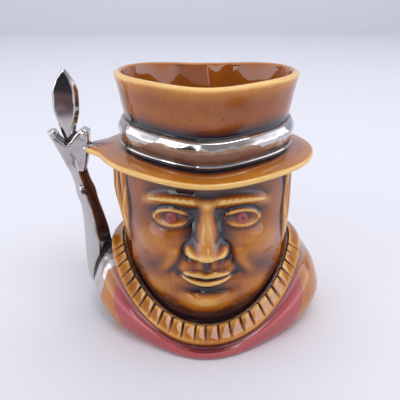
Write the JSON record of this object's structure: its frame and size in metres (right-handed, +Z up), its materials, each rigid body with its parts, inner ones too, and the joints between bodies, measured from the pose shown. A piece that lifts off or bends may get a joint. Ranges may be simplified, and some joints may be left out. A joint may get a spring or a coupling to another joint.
{
  "type": "toby jug",
  "caption": "Small hollow character jug: a yeoman guardsman's head in a flared round hat and pleated ruff, with a partisan as its handle, open at the hat's rim.",
  "frame": {"origin": "on the jug's upright axis, in the plane of its flat underside", "axes": "+Z up, the face looks along -Y, and the handle stands on the -X side"},
  "size_m": [0.1151, 0.0941, 0.103],
  "materials": {
    "glaze": "treacle-amber glaze that pools dark in the hollows and thins to gold on the ridges, with platinum lustre on the hat band and handle, red painted tunic and red irises, glossy all over"
  },
  "bodies": {
    "root": {"jug": "glaze"}
  },
  "joints": []
}
